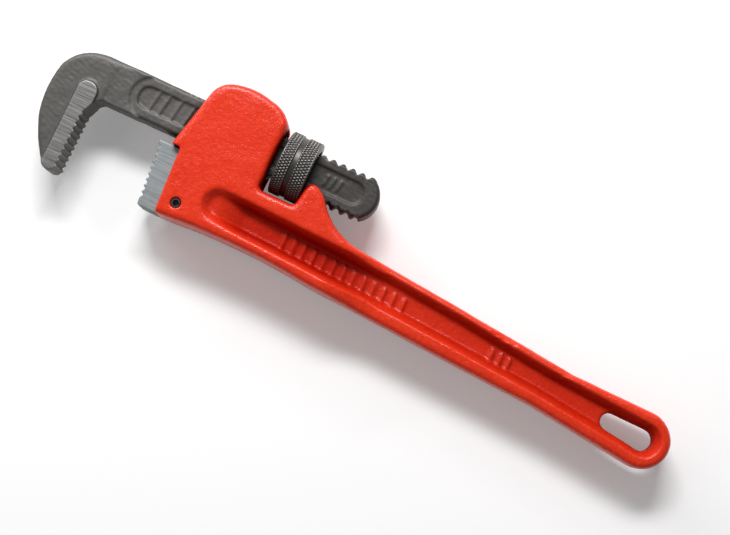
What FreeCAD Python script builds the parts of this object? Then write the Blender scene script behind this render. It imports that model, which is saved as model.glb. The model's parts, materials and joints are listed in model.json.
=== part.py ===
"""Straight pipe wrench: a parametric FreeCAD document with one object for each real piece.

While it is modelled, X runs along the shank towards the handle's end, with X = 0 just inside the
housing's rear face, Y = 0 on the shank's axis with the jaws on the negative side, and Z is the
thickness, with Z = 0 on the middle plane. At the end every piece gets the same Placement, which
puts the origin at the bottom centre of the whole wrench's box, lying flat.
"""
import FreeCAD, Part
import math
import os
import re
import Sketcher

Vector = FreeCAD.Vector

# Driving dimensions in millimetres (angles in degrees), one spreadsheet cell each.
DIMENSIONS = {
    "zero": 0.0,
    "cut_reach": 150.0,
    "cut_margin": 4.0,
    # Handle: outline of the housing, mouth, window, spur and grip
    "lip_tip_x": -44.7, "lip_tip_y": -15.35,
    "mouth_top_x": -38.1, "mouth_top_y": 14.4,
    "crown_front_x": -29.9, "crown_front_y": 22.6,
    "crown_rear_x": -10.4, "crown_rear_y": 22.75,
    "rear_top_x": 1.6, "rear_top_y": 15.2,
    "window_floor_y": -17.6,
    "spur_foot_x": 19.8,
    "spur_tip_x": 22.0, "spur_tip_y": -3.8,
    "spur_back_x": 33.3, "spur_back_y": -10.9,
    "grip_start_x": 54.0, "grip_start_y": -23.0,
    "grip_end_x": 172.0, "grip_end_y": -33.9,
    "end_top_x": 212.0, "end_top_y": -34.2,
    "end_nose_x": 226.5, "end_nose_y": -49.5,
    "end_bottom_x": 213.5, "end_bottom_y": -61.4,
    "belly_x": 158.9, "belly_y": -55.3,
    "throat_x": 40.1, "throat_y": -48.8,
    "chin_x": -26.4, "chin_y": -47.4,
    "heel_bottom_x": -37.9, "heel_bottom_y": -48.25,
    "heel_top_x": -39.9, "heel_top_y": -15.25,
    "crown_front_radius": 11.7,
    "crown_top_radius": 32.8,
    "crown_rear_radius": 15.0,
    "spur_crest_radius": 15.0,
    "spur_root_radius": 31.0,
    "grip_back_radius": 6300.0,
    "end_top_radius": 14.0,
    "end_bottom_radius": 13.1,
    "belly_radius": 5900.0,
    "throat_radius": 350.0,
    # Handle: thicknesses
    "housing_half": 14.0,
    "grip_half": 8.3,
    "thin_middle_x": 60.0, "thin_middle_half": 11.15,
    "thin_radius": 40.9,
    "beyond_end_x": 260.0,
    "beyond_half": 30.0,
    "crown_corner_radius": 4.0,
    "spur_tip_radius": 3.4,
    "window_corner_radius": 2.0,
    "outer_edge_radius": 3.0,
    # Handle: trough on each side, given at stations along the grip
    "trough_a_x": -12.0, "trough_a_high": -24.4, "trough_a_low": -41.0, "trough_a_floor": 10.8,
    "trough_b_x": 1.0, "trough_b_high": -24.8, "trough_b_low": -41.6, "trough_b_floor": 6.4,
    "trough_c_x": 45.0, "trough_c_high": -26.2, "trough_c_low": -43.5, "trough_c_floor": 4.8,
    "trough_d_x": 75.0, "trough_d_high": -27.8, "trough_d_low": -44.5, "trough_d_floor": 3.4,
    "trough_e_x": 111.0, "trough_e_high": -30.7, "trough_e_low": -46.6, "trough_e_floor": 3.2,
    "trough_f_x": 159.0, "trough_f_high": -36.0, "trough_f_low": -49.9, "trough_f_floor": 3.2,
    "trough_g_x": 213.8, "trough_g_high": -39.2, "trough_g_low": -56.0, "trough_g_floor": 3.2,
    "trough_a_middle": -32.7, "trough_a_half": 8.3,
    "trough_g_middle": -47.6, "trough_g_half": 8.4,
    "trough_wall": 4.0,
    # Handle: passage for the shank, forked spur and hang hole
    "passage_half": 8.1,
    "passage_floor_y": -10.95,
    "passage_roof_y": 13.65,
    "passage_rear_roof_y": 11.65,
    "passage_front_x": -60.0,
    "passage_step_x": -3.0,
    "passage_end_x": 4.0,
    "fork_floor_y": -13.0,
    "fork_start_x": 15.0,
    "fork_end_x": 60.0,
    "fork_top_y": 5.0,
    "spring_room_front_x": -36.3,
    "spring_room_rear_x": -4.0,
    "spring_room_roof_y": 15.85,
    "spring_room_half": 5.4,
    "hang_near_x": 195.9, "hang_near_y": -46.7, "hang_near_radius": 4.1,
    "hang_far_x": 213.1, "hang_far_y": -47.9, "hang_far_radius": 5.2,
    # Heel jaw, its tongue and its pin
    "heel_half": 9.5,
    "heel_face_top_x": -49.2, "heel_face_top_y": -15.65,
    "heel_face_bottom_x": -47.5, "heel_face_bottom_y": -47.1,
    "heel_foot_x": -46.5, "heel_foot_y": -48.1,
    "heel_foot_radius": 1.2,
    "heel_seat_top_x": -39.89, "heel_seat_top_y": -15.65,
    "heel_seat_bottom_x": -37.93, "heel_seat_bottom_y": -48.1,
    "tongue_half": 4.9,
    "tongue_slot_half": 5.0,
    "tongue_front_x": -44.0,
    "tongue_end_x": -24.5,
    "tongue_slot_end_x": -24.3,
    "tongue_top_y": -21.0,
    "tongue_slot_top_y": -20.8,
    "tongue_bottom_y": -44.0,
    "tongue_slot_bottom_y": -44.2,
    "pin_x": -30.5, "pin_y": -40.0,
    "pin_radius": 2.5,
    "pin_bore_radius": 1.5,
    "pin_slit_half": 0.5,
    "pin_length": 27.0,
    "pin_chamfer": 0.4,
    # Teeth of both jaws
    "tooth_pitch": 3.05,
    "tooth_depth": 1.35,
    "tooth_overlap": 1.0,
    "tooth_short_flank": 0.95,
    "tooth_valley": 0.45,
    "hook_tooth_count": 10,
    "heel_tooth_count": 9,
    "hook_tooth_x": -88.8, "hook_tooth_y": -20.35,
    "hook_tooth_tilt": -0.6,
    "heel_tooth_x": -50.9, "heel_tooth_y": -17.4,
    "heel_tooth_tilt": 6.3,
    # Hook jaw: head, ground pad, neck and shank
    "head_half": 8.2,
    "head_edge_radius": 2.3,
    "shank_half_height": 10.75,
    "head_back_x": -90.0,
    "head_crest_x": -109.1, "head_crest_y": -2.0,
    "head_brow_x": -108.85, "head_brow_y": -28.3,
    "head_cheek_x": -97.6, "head_cheek_y": -48.65,
    "head_chin_x": -89.7, "head_chin_y": -49.7,
    "head_tip_low_x": -89.1, "head_tip_low_y": -48.65,
    "head_tip_high_x": -89.65, "head_tip_high_y": -19.4,
    "head_inner_x": -86.4, "head_inner_y": -12.2,
    "head_corner_x": -84.2,
    "head_back_radius": 22.0,
    "head_front_radius": 52.5,
    "head_cheek_radius": 67.0,
    "head_chin_radius": 5.0,
    "pad_half": 9.5,
    "pad_foot_x": -97.2, "pad_foot_y": -48.2,
    "pad_chin_x": -90.0, "pad_chin_y": -49.4,
    "pad_chin_radius": 4.4,
    "pad_top_y": -8.7,
    "pad_right_x": -87.3,
    "pad_top_radius": 5.0,
    "neck_half": 7.8,
    "neck_end_x": -64.0,
    "neck_end_radius": 10.8,
    "shank_half": 7.2,
    "shank_edge": 1.3,
    "tip_shoulder_x": 48.5,
    "tip_radius": 12.1,
    "recess_depth": 0.8,
    "recess_start_x": -69.7,
    "recess_end_x": 47.3,
    "recess_half": 5.7,
    "recess_corner_radius": 5.0,
    # Screw: rack-like left-handed teeth on both edges of the shank, and the nut's thread
    "thread_pitch": 5.0,
    "thread_depth": 1.95,
    "thread_overlap": 2.0,
    "groove_root_half": 0.6,
    "groove_mouth_half": 1.85,
    "top_groove_x": -29.4,
    "bottom_groove_x": -31.9,
    "top_groove_count": 16,
    "bottom_groove_count": 17,
    "groove_skew": 1.07,
    # Adjusting nut
    "nut_start_x": 4.5,
    "nut_band_end_x": 10.2,
    "nut_band_start_x": 13.1,
    "nut_end_x": 20.1,
    "nut_radius": 15.8,
    "nut_waist_radius": 15.1,
    "nut_bevel": 0.9,
    "nut_minor_radius": 11.45,
    "nut_major_radius": 12.55,
    "nut_groove_start_x": -1.9,
    "nut_groove_run": 30.0,
    "nut_groove_root_half": 1.35,
    "nut_groove_mouth_half": 2.05,
    "nut_groove_mouth_radius": 11.05,
    "nut_mouth_radius": 12.7,
    "nut_mouth_bevel": 1.3,
    # Spring assembly in the housing's roof
    "leaf_front_x": -34.5,
    "leaf_rear_x": -7.0,
    "leaf_contact_y": 10.8,
    "leaf_radius": 86.5,
    "leaf_thickness": 0.8,
    "leaf_half": 4.5,
    "coil_x": -25.0,
    "coil_mean_radius": 3.5,
    "coil_wire_radius": 0.55,
    "coil_pitch": 1.75,
    "coil_length": 6.125,
    "coil_foot_y": 13.32,
    "coil_seat_radius": 4.8,
    "coil_roof_y": 20.05,
    "rivet_radius": 1.1,
    "rivet_head_radius": 2.2,
    "rivet_low_y": 11.13,
    "rivet_low_seat_y": 11.63,
    "rivet_high_seat_y": 12.72,
    "rivet_high_y": 13.25,
}

os.makedirs("parts", exist_ok=True)
doc = FreeCAD.newDocument("pipe_wrench")
sheet = doc.addObject("Spreadsheet::Sheet", "dims")
for row, (alias, number) in enumerate(DIMENSIONS.items(), 1):
    sheet.set(f"A{row}", alias)
    sheet.set(f"B{row}", str(number))
    sheet.setAlias(f"B{row}", alias)
doc.recompute()


def value(term):
    """Number behind a term: aliases of the sheet with plus or minus signs between them."""
    total = 0.0
    for sign, alias in re.findall(r"([+-]?)(\w+)", term):
        total += -sheet.get(alias) if sign == "-" else sheet.get(alias)
    return total


def cell(term):
    """Expression for a term."""
    return re.sub(r"(\w+)", r"dims.\1", term)


def new_body(name):
    """Empty body for one piece, with the piece's name as its label."""
    body = doc.addObject("PartDesign::Body", name)
    body.Label = name
    return body


def new_sketch(body, name, role, shift=None, turn=None):
    """Empty sketch on one of the body's own planes, moved or turned by AttachmentOffset."""
    sketch = body.newObject("Sketcher::SketchObject", name)
    plane = next(item for item in body.Origin.OriginFeatures if item.Role == role)
    sketch.AttachmentSupport = [(plane, "")]
    sketch.MapMode = "FlatFace"
    for axis, term in (shift or {}).items():
        sketch.setExpression(f"AttachmentOffset.Base.{axis}", cell(term))
    if turn:
        sketch.AttachmentOffset = FreeCAD.Placement(Vector(), FreeCAD.Rotation(Vector(0, 0, 1), 1))
        sketch.setExpression("AttachmentOffset.Rotation.Angle", cell(turn))
    return sketch


def bind(sketch, constraint, term, name):
    """Add a constraint whose value follows a cell of the sheet."""
    index = sketch.addConstraint(constraint)
    sketch.renameConstraint(index, name)
    sketch.setExpression(f"Constraints.{name}", cell(term))


def arc_between(start, end, radius, side):
    """Arc of a radius from start to end; side 1 turns left on the way, side -1 turns right."""
    chord = end - start
    middle = (start + end) * 0.5
    normal = Vector(-chord.y, chord.x, 0).normalize()
    reach = math.sqrt(max(radius ** 2 - (chord.Length / 2) ** 2, 0.0))
    centre = middle + normal * (reach * side)
    first, last = (start, end) if side > 0 else (end, start)
    circle = Part.Circle(centre, Vector(0, 0, 1), radius)
    return Part.ArcOfCircle(circle, circle.parameter(first), circle.parameter(last))


def draw_outline(sketch, corners, arcs=None):
    """Closed outline through corners, pairs of terms; arcs maps a corner's index to the radius
    term and side of the arc that leaves it. Every corner and radius is bound to the sheet."""
    arcs = arcs or {}
    points = [Vector(value(x), value(y), 0) for x, y in corners]
    count = len(points)
    base = sketch.GeometryCount
    ends = []
    for index, start in enumerate(points):
        end = points[(index + 1) % count]
        if index in arcs:
            term, side = arcs[index]
            sketch.addGeometry(arc_between(start, end, value(term), side), False)
            ends.append((1, 2) if side > 0 else (2, 1))
        else:
            sketch.addGeometry(Part.LineSegment(start, end), False)
            ends.append((1, 2))
    for index in range(count):
        following = (index + 1) % count
        joint = (base + index, ends[index][1], base + following, ends[following][0])
        sketch.addConstraint(Sketcher.Constraint("Coincident", *joint))
    for index, (x, y) in enumerate(corners):
        corner = (-1, 1, base + index, ends[index][0])
        bind(sketch, Sketcher.Constraint("DistanceX", *corner, points[index].x), x, f"x_{base + index}")
        bind(sketch, Sketcher.Constraint("DistanceY", *corner, points[index].y), y, f"y_{base + index}")
    for index, (term, side) in arcs.items():
        radius = Sketcher.Constraint("Radius", base + index, value(term))
        bind(sketch, radius, term, f"radius_{base + index}")


def draw_circle(sketch, x, y, radius):
    """Circle whose centre and radius are terms."""
    circle = Part.Circle(Vector(value(x), value(y), 0), Vector(0, 0, 1), value(radius))
    index = sketch.addGeometry(circle)
    bind(sketch, Sketcher.Constraint("DistanceX", -1, 1, index, 3, value(x)), x, f"circle_x_{index}")
    bind(sketch, Sketcher.Constraint("DistanceY", -1, 1, index, 3, value(y)), y, f"circle_y_{index}")
    bind(sketch, Sketcher.Constraint("Radius", index, value(radius)), radius, f"circle_r_{index}")


def pad_both_ways(body, name, sketch, half):
    """Pad as far on both sides of the sketch as the half thickness says."""
    pad = body.newObject("PartDesign::Pad", name)
    pad.Profile = sketch
    pad.SideType = "Symmetric"
    pad.setExpression("Length", f"2 * {cell(half)}")
    doc.recompute()
    return pad


def cut_both_ways(body, name, sketch, half):
    """Pocket as far on both sides of the sketch as the half width says."""
    before = body.Shape.Volume
    pocket = body.newObject("PartDesign::Pocket", name)
    pocket.Profile = sketch
    pocket.SideType = "Symmetric"
    pocket.setExpression("Length", f"2 * {cell(half)}")
    doc.recompute()
    check_cut(body, name, before)
    return pocket


def check_cut(body, name, before):
    """Stop if a feature that should remove material has removed none."""
    if body.Shape.Volume > before - 0.01:
        raise RuntimeError(f"{body.Label}: {name} cuts nothing")


def edge_names(feature, wanted):
    """Names of the feature's edges for which wanted(edge) is true."""
    edges = enumerate(feature.Shape.Edges, 1)
    return [f"Edge{index}" for index, edge in edges if wanted(edge)]


def round_edges(body, name, feature, wanted, radius):
    """Fillet the feature's wanted edges."""
    fillet = body.newObject("PartDesign::Fillet", name)
    fillet.Base = (feature, edge_names(feature, wanted))
    fillet.setExpression("Radius", cell(radius))
    doc.recompute()
    return fillet


def is_upright(edge):
    """True for a straight edge along Z."""
    first, last = edge.Vertexes[0].Point, edge.Vertexes[-1].Point
    return abs(first.z - last.z) > 1 and (first - last).Length - abs(first.z - last.z) < 1e-6


def near(edge, corners):
    """True if the edge's middle lies over one of the corners, pairs of terms."""
    middle = edge.CenterOfMass
    return any(math.hypot(middle.x - value(x), middle.y - value(y)) < 0.5 for x, y in corners)


def draw_tapered_slot(sketch, near_end, far_end):
    """Slot with a round end of its own radius at each end; an end is (x, y, radius) as terms."""
    ends = [(Vector(value(x), value(y), 0), value(r)) for x, y, r in (near_end, far_end)]
    (near_point, near_radius), (far_point, far_radius) = ends
    along = far_point - near_point
    heading = math.atan2(along.y, along.x)
    spread = math.acos((near_radius - far_radius) / along.Length)
    axis = Vector(0, 0, 1)
    near_circle = Part.Circle(near_point, axis, near_radius)
    far_circle = Part.Circle(far_point, axis, far_radius)
    near_arc = Part.ArcOfCircle(near_circle, heading + spread, heading - spread + 2 * math.pi)
    far_arc = Part.ArcOfCircle(far_circle, heading - spread, heading + spread)
    lower = Part.LineSegment(near_arc.EndPoint, far_arc.StartPoint)
    upper = Part.LineSegment(far_arc.EndPoint, near_arc.StartPoint)
    sketch.addGeometry([near_arc, lower, far_arc, upper], False)
    for first, second in ((0, 1), (1, 2), (2, 3), (3, 0)):
        sketch.addConstraint(Sketcher.Constraint("Tangent", first, 2, second, 1))
    for index, (x, y, radius) in ((0, near_end), (2, far_end)):
        bind(sketch, Sketcher.Constraint("DistanceX", -1, 1, index, 3, value(x)), x, f"end_x_{index}")
        bind(sketch, Sketcher.Constraint("DistanceY", -1, 1, index, 3, value(y)), y, f"end_y_{index}")
        bind(sketch, Sketcher.Constraint("Radius", index, value(radius)), radius, f"end_r_{index}")


def box_outline(left, bottom, right, top):
    """Four corners of a rectangle."""
    return [(left, bottom), (right, bottom), (right, top), (left, top)]


def point(name):
    """Pair of terms of a named corner."""
    return f"{name}_x", f"{name}_y"


def make_handle():
    """Casting: housing with mouth, window and forked spur, and the I-section grip."""
    body = new_body("handle")
    plan = new_sketch(body, "handle_plan", "XY_Plane")
    corners = [
        point("lip_tip"), point("mouth_top"), point("crown_front"), point("crown_rear"),
        point("rear_top"), ("rear_top_x", "window_floor_y"), ("spur_foot_x", "window_floor_y"),
        point("spur_tip"), point("spur_back"), point("grip_start"),
        point("grip_end"), point("end_top"), point("end_nose"), point("end_bottom"),
        point("belly"), point("throat"), point("chin"), point("heel_bottom"), point("heel_top"),
    ]
    bends = {
        1: ("crown_front_radius", -1), 2: ("crown_top_radius", -1), 3: ("crown_rear_radius", -1),
        7: ("spur_crest_radius", -1), 8: ("spur_root_radius", 1), 9: ("grip_back_radius", -1),
        11: ("end_top_radius", -1), 12: ("end_bottom_radius", -1), 14: ("belly_radius", -1),
        15: ("throat_radius", 1),
    }
    draw_outline(plan, corners, bends)
    block = pad_both_ways(body, "handle_block", plan, "housing_half")

    roundings = (
        ("window_rounding", corners[5:7], "window_corner_radius"),
        ("crown_rounding", [corners[1], corners[4]], "crown_corner_radius"),
        ("spur_rounding", [corners[7]], "spur_tip_radius"),
    )
    base = block
    for name, places, radius in roundings:
        base = round_edges(body, name, base,
                           lambda edge: is_upright(edge) and near(edge, places), radius)

    profile = new_sketch(body, "grip_thickness", "XZ_Plane")
    for sign in ("", "-"):
        turn = -1 if sign else 1
        draw_outline(profile, [
            ("trough_c_x", f"{sign}housing_half"), ("thin_middle_x", f"{sign}thin_middle_half"),
            ("trough_d_x", f"{sign}grip_half"), ("beyond_end_x", f"{sign}grip_half"),
            ("beyond_end_x", f"{sign}beyond_half"), ("trough_c_x", f"{sign}beyond_half"),
        ], {0: ("thin_radius", -turn), 1: ("thin_radius", turn)})
    thinned = cut_both_ways(body, "grip_thinning", profile, "cut_reach")

    creases = (value("trough_c_x"), value("thin_middle_x"), value("trough_d_x"))

    def is_rim(edge):
        box = edge.BoundBox
        if box.ZMin * box.ZMax < 0 or min(abs(box.ZMin), abs(box.ZMax)) < value("grip_half") - 0.01:
            return False
        if box.XMax < value("heel_bottom_x") + 0.01 and box.YMax < value("lip_tip_y") + 0.2:
            return False
        return not any(abs(box.XMin - x) + abs(box.XMax - x) < 0.01 for x in creases)

    round_edges(body, "outer_rounding", thinned, is_rim, "outer_edge_radius")

    cut_trough(body)
    cut_housing(body)
    cut_holes(body)
    return body


def cut_trough(body):
    """Trough along the grip on both sides, deeper towards the housing, round at both ends."""
    before = body.Shape.Volume
    sections = []
    for letter in "abcdefg":
        crest = "housing_half" if letter in "abc" else "grip_half"
        low, high, floor = (f"trough_{letter}_{part}" for part in ("low", "high", "floor"))
        section = new_sketch(body, f"trough_section_{letter}", "YZ_Plane", {"z": f"trough_{letter}_x"})
        draw_outline(section, [
            (low, "beyond_half"), (low, crest), (f"{low}+trough_wall", floor),
            (f"{high}-trough_wall", floor), (high, crest), (high, "beyond_half"),
        ])
        sections.append(section)
    run = body.newObject("PartDesign::SubtractiveLoft", "trough_run")
    run.Profile = sections[0]
    run.Sections = sections[1:]
    run.Ruled = True
    doc.recompute()
    check_cut(body, "trough_run", before)

    cut_features = [run]
    for letter, crest in (("a", "housing_half"), ("g", "grip_half")):
        before = body.Shape.Volume
        half = f"trough_{letter}_half"
        shift = {"x": f"trough_{letter}_x", "z": f"-trough_{letter}_middle"}
        section = new_sketch(body, f"trough_end_section_{letter}", "XZ_Plane", shift)
        draw_outline(section, [
            ("zero", f"trough_{letter}_floor"), (f"{half}-trough_wall", f"trough_{letter}_floor"),
            (half, crest), (half, "beyond_half"), ("zero", "beyond_half"),
        ])
        groove = body.newObject("PartDesign::Groove", f"trough_end_{letter}")
        groove.Profile = section
        groove.ReferenceAxis = (section, ["V_Axis"])
        groove.Angle = 360
        doc.recompute()
        check_cut(body, groove.Name, before)
        cut_features.append(groove)

    mirrored = body.newObject("PartDesign::Mirrored", "trough_other_side")
    mirrored.Originals = cut_features
    plane = next(item for item in body.Origin.OriginFeatures if item.Role == "XY_Plane")
    mirrored.MirrorPlane = (plane, [""])
    before = body.Shape.Volume
    body.Tip = mirrored
    doc.recompute()
    check_cut(body, "trough_other_side", before)


def cut_housing(body):
    """Passage of the shank, fork of the spur, tongue slot and room for the springs."""
    passage = new_sketch(body, "passage_plan", "XY_Plane")
    draw_outline(passage, [
        ("passage_front_x", "passage_floor_y"), ("passage_end_x", "passage_floor_y"),
        ("passage_end_x", "passage_rear_roof_y"), ("passage_step_x", "passage_rear_roof_y"),
        ("passage_step_x", "passage_roof_y"), ("passage_front_x", "passage_roof_y"),
    ])
    cut_both_ways(body, "passage", passage, "passage_half")

    fork = new_sketch(body, "fork_plan", "XY_Plane")
    draw_outline(fork, box_outline("fork_start_x", "fork_floor_y", "fork_end_x", "fork_top_y"))
    cut_both_ways(body, "fork", fork, "passage_half")

    slot = new_sketch(body, "tongue_slot_plan", "XY_Plane")
    draw_outline(slot, box_outline("tongue_front_x", "tongue_slot_bottom_y",
                                   "tongue_slot_end_x", "tongue_slot_top_y"))
    cut_both_ways(body, "tongue_slot", slot, "tongue_slot_half")

    room = new_sketch(body, "spring_room_plan", "XY_Plane")
    draw_outline(room, box_outline("spring_room_front_x", "zero", "spring_room_rear_x",
                                   "spring_room_roof_y"))
    cut_both_ways(body, "spring_room", room, "spring_room_half")

    before = body.Shape.Volume
    seat = new_sketch(body, "coil_seat_section", "XY_Plane", {"x": "coil_x"})
    draw_outline(seat, box_outline("zero", "zero", "coil_seat_radius", "coil_roof_y"))
    bore = body.newObject("PartDesign::Groove", "coil_seat")
    bore.Profile = seat
    bore.ReferenceAxis = (seat, ["V_Axis"])
    bore.Angle = 360
    doc.recompute()
    check_cut(body, "coil_seat", before)


def cut_holes(body):
    """Cross hole of the heel jaw's pin, and the hang hole through the web."""
    pin_hole = new_sketch(body, "pin_hole_plan", "XY_Plane")
    draw_circle(pin_hole, "pin_x", "pin_y", "pin_radius")
    cut_both_ways(body, "pin_hole", pin_hole, "cut_reach")
    hang = new_sketch(body, "hang_hole_plan", "XY_Plane")
    draw_tapered_slot(hang, ("hang_near_x", "hang_near_y", "hang_near_radius"),
                      ("hang_far_x", "hang_far_y", "hang_far_radius"))
    cut_both_ways(body, "hang_hole", hang, "cut_reach")


def cut_teeth(body, name, start, tilt, facing):
    """Row of saw teeth cut into a jaw. The row runs away from the shank from the start corner,
    turned by the tilt; facing 1 opens to +X and -1 to -X."""
    row = new_sketch(body, f"{name}_section", "XY_Plane", {"x": f"{start}_x", "y": f"{start}_y"}, tilt)
    mouth = "tooth_overlap" if facing > 0 else "-tooth_overlap"
    root = "-tooth_depth" if facing > 0 else "tooth_depth"
    if facing > 0:
        corners = [("zero", "zero"), (root, "-tooth_pitch+tooth_short_flank+tooth_valley"),
                   (root, "-tooth_pitch+tooth_short_flank"), ("zero", "-tooth_pitch")]
    else:
        corners = [("zero", "zero"), (root, "-tooth_short_flank"),
                   (root, "-tooth_short_flank-tooth_valley"), ("zero", "-tooth_pitch")]
    corners += [(mouth, "-tooth_pitch"), (mouth, "zero")]
    draw_outline(row, corners)
    first = cut_both_ways(body, f"{name}_first", row, "cut_reach")
    repeat(body, name, first, (row, ["V_Axis"]), "tooth_pitch", f"{start}_count", True)


def repeat(body, name, feature, direction, pitch, count, backwards=False):
    """Linear pattern of a cut, at a pitch."""
    before = body.Shape.Volume
    pattern = body.newObject("PartDesign::LinearPattern", name)
    pattern.Originals = [feature]
    pattern.Direction = direction
    pattern.Reversed = backwards
    pattern.setExpression("Length", f"{cell(pitch)} * ({cell(count)} - 1)")
    pattern.setExpression("Occurrences", cell(count))
    body.Tip = pattern
    doc.recompute()
    check_cut(body, name, before)


def make_hook_jaw():
    """Forging: flat toothed shank, thicker neck, and the hooked head with its ground pad."""
    body = new_body("hook_jaw")
    plan = new_sketch(body, "shank_plan", "XY_Plane")
    draw_outline(plan, [
        ("head_back_x", "-shank_half_height"), ("tip_shoulder_x", "-shank_half_height"),
        ("tip_shoulder_x", "shank_half_height"), ("head_back_x", "shank_half_height"),
    ], {1: ("tip_radius", 1)})
    shank = pad_both_ways(body, "shank", plan, "shank_half")
    bevel = body.newObject("PartDesign::Chamfer", "shank_bevel")
    left_end = value("head_back_x")

    def is_shank_rim(edge):
        box = edge.BoundBox
        return box.ZMax - box.ZMin < 0.01 and box.XMax > left_end + 0.01

    bevel.Base = (shank, edge_names(shank, is_shank_rim))
    bevel.setExpression("Size", cell("shank_edge"))
    doc.recompute()

    cut_screw(body)
    cut_recess(body)

    neck = new_sketch(body, "neck_plan", "XY_Plane")
    draw_outline(neck, [
        ("head_back_x", "-shank_half_height"), ("neck_end_x", "-shank_half_height"),
        ("neck_end_x", "shank_half_height"), ("head_back_x", "shank_half_height"),
    ], {1: ("neck_end_radius", -1)})
    pad_both_ways(body, "neck", neck, "neck_half")

    head = new_sketch(body, "head_plan", "XY_Plane")
    draw_outline(head, [
        ("head_corner_x", "shank_half_height"), ("head_corner_x", "-shank_half_height"),
        point("head_inner"), point("head_tip_high"), point("hook_tooth"), point("head_tip_low"),
        point("head_chin"), point("head_cheek"), point("head_brow"), point("head_crest"),
        ("head_back_x", "shank_half_height"),
    ], {
        6: ("head_chin_radius", -1), 7: ("head_cheek_radius", -1),
        8: ("head_front_radius", -1), 9: ("head_back_radius", -1),
    })
    head_pad = pad_both_ways(body, "head", head, "head_half")
    half = value("head_half")

    def is_head_rim(edge):
        box = edge.BoundBox
        flat = abs(abs(box.ZMin) - half) + abs(abs(box.ZMax) - half) < 0.01 and box.ZMin * box.ZMax > 0
        return flat and box.XMin < value("head_cheek_x") - 0.01

    round_edges(body, "head_rounding", head_pad, is_head_rim, "head_edge_radius")

    ground = new_sketch(body, "pad_plan", "XY_Plane")
    draw_outline(ground, [
        point("pad_foot"), point("pad_chin"), ("pad_right_x", "pad_chin_y"),
        ("pad_right_x", "pad_top_y"), ("pad_foot_x", "pad_top_y"),
    ], {0: ("pad_chin_radius", 1), 3: ("pad_top_radius", 1)})
    pad_both_ways(body, "ground_pad", ground, "pad_half")
    trim_pad(body)
    cut_teeth(body, "hook_teeth", "hook_tooth", "hook_tooth_tilt", 1)
    return body


def trim_pad(body):
    """Cut the ground pad back to the slope and tooth line of the head's inner side."""
    trim = new_sketch(body, "pad_trim_plan", "XY_Plane")
    draw_outline(trim, [
        point("head_tip_low"), ("head_tip_low_x+cut_margin", "head_tip_low_y-cut_margin"),
        ("head_corner_x", "head_tip_low_y-cut_margin"), point("head_inner"),
        point("head_tip_high"), point("hook_tooth"),
    ])
    cut_both_ways(body, "pad_trim", trim, "cut_reach")


def cut_screw(body):
    """Grooves of the screw on both edges of the shank: short stretches of a left-handed thread,
    so the two edges lean opposite ways and are half a pitch apart."""
    for edge, side, lean in (("top", "", -1), ("bottom", "-", 1)):
        section = new_sketch(body, f"{edge}_groove_section", "XY_Plane", {"x": f"{edge}_groove_x"})
        outside = f"{side}shank_half_height" + ("-" if side else "+") + "thread_overlap"
        root = f"{side}shank_half_height" + ("+" if side else "-") + "thread_depth"
        rim = f"{side}shank_half_height"
        draw_outline(section, [
            ("-groove_root_half", root), ("groove_root_half", root), ("groove_mouth_half", rim),
            ("groove_mouth_half", outside), ("-groove_mouth_half", outside), ("-groove_mouth_half", rim),
        ])
        before = body.Shape.Volume
        groove = body.newObject("PartDesign::Pocket", f"{edge}_groove")
        groove.Profile = section
        groove.SideType = "Symmetric"
        groove.setExpression("Length", "4 * dims.shank_half")
        groove.UseCustomVector = True
        groove.AlongSketchNormal = True
        groove.Direction = Vector(lean * value("groove_skew"), 0, 2 * value("shank_half"))
        doc.recompute()
        check_cut(body, groove.Name, before)
        repeat(body, f"{edge}_grooves", groove, (section, ["H_Axis"]), "thread_pitch", f"{edge}_groove_count")


def cut_recess(body):
    """Long shallow recess in each flat of the shank, which carries the size scale."""
    for side, lift in (("front", "shank_half"), ("rear", "-shank_half")):
        plan = new_sketch(body, f"{side}_recess_plan", "XY_Plane", {"z": lift})
        draw_outline(plan, [
            ("recess_start_x+recess_corner_radius", "-recess_half"),
            ("recess_end_x-recess_corner_radius", "-recess_half"),
            ("recess_end_x", "-recess_half+recess_corner_radius"),
            ("recess_end_x", "recess_half-recess_corner_radius"),
            ("recess_end_x-recess_corner_radius", "recess_half"),
            ("recess_start_x+recess_corner_radius", "recess_half"),
            ("recess_start_x", "recess_half-recess_corner_radius"),
            ("recess_start_x", "-recess_half+recess_corner_radius"),
        ], {index: ("recess_corner_radius", 1) for index in (1, 3, 5, 7)})
        cut_both_ways(body, f"{side}_recess", plan, "recess_depth")


def make_heel_jaw():
    """Toothed block against the housing's front, with the tongue that the pin holds."""
    body = new_body("heel_jaw")
    plan = new_sketch(body, "heel_plan", "XY_Plane")
    draw_outline(plan, [
        point("heel_seat_bottom"), point("heel_seat_top"), ("heel_tooth_x", "heel_seat_top_y"),
        point("heel_tooth"), point("heel_face_bottom"), point("heel_foot"),
    ], {4: ("heel_foot_radius", 1)})
    pad_both_ways(body, "heel_block", plan, "heel_half")
    tongue = new_sketch(body, "tongue_plan", "XY_Plane")
    draw_outline(tongue, box_outline("tongue_front_x", "tongue_bottom_y",
                                     "tongue_end_x", "tongue_top_y"))
    pad_both_ways(body, "tongue", tongue, "tongue_half")
    hole = new_sketch(body, "tongue_hole_plan", "XY_Plane")
    draw_circle(hole, "pin_x", "pin_y", "pin_radius")
    cut_both_ways(body, "tongue_hole", hole, "cut_reach")
    cut_teeth(body, "heel_teeth", "heel_tooth", "heel_tooth_tilt", -1)
    return body


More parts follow.
